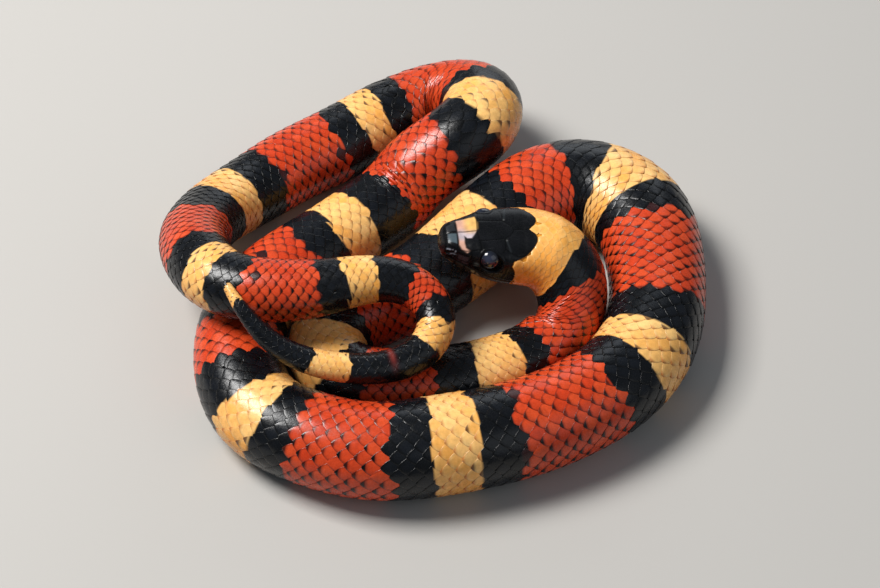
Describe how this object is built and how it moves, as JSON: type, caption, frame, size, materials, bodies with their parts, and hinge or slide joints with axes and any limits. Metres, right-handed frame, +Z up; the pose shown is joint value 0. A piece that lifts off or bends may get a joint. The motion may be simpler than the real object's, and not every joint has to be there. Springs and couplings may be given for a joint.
{
  "type": "milk snake",
  "caption": "Life-size still model of a banded milk snake lying in flat coils, with its head laid on an inner coil and its tail crossing over the others.",
  "frame": {"origin": "middle of the footprint of the coils, on the floor", "axes": "+Z up, the short way of the coiled body; +Y across the coils, the long way; +X across the coils, with the snout pointing towards -X"},
  "size_m": [0.1178, 0.1223, 0.0303],
  "materials": {
    "red_scales": "smooth glossy scales, brick red",
    "black_scales": "smooth glossy scales, blue-black",
    "yellow_scales": "smooth glossy scales, cream to orange-yellow",
    "eye_gloss": "wet, polished, near black"
  },
  "bodies": {
    "root": {"head": "black_scales", "lower_jaw": "yellow_scales", "eye_left": "eye_gloss", "eye_right": "eye_gloss", "neck": "yellow_scales", "trunk_1": "red_scales", "trunk_2": "black_scales", "trunk_3": "red_scales", "trunk_4": "black_scales", "trunk_5": "red_scales", "trunk_6": "black_scales", "trunk_7": "red_scales", "trunk_8": "black_scales", "trunk_9": "red_scales", "trunk_10": "black_scales", "trunk_11": "red_scales", "trunk_12": "black_scales", "trunk_13": "red_scales", "trunk_14": "black_scales", "trunk_15": "red_scales", "tail_1": "black_scales", "tail_2": "black_scales", "tail_tip": "yellow_scales"}
  },
  "joints": []
}
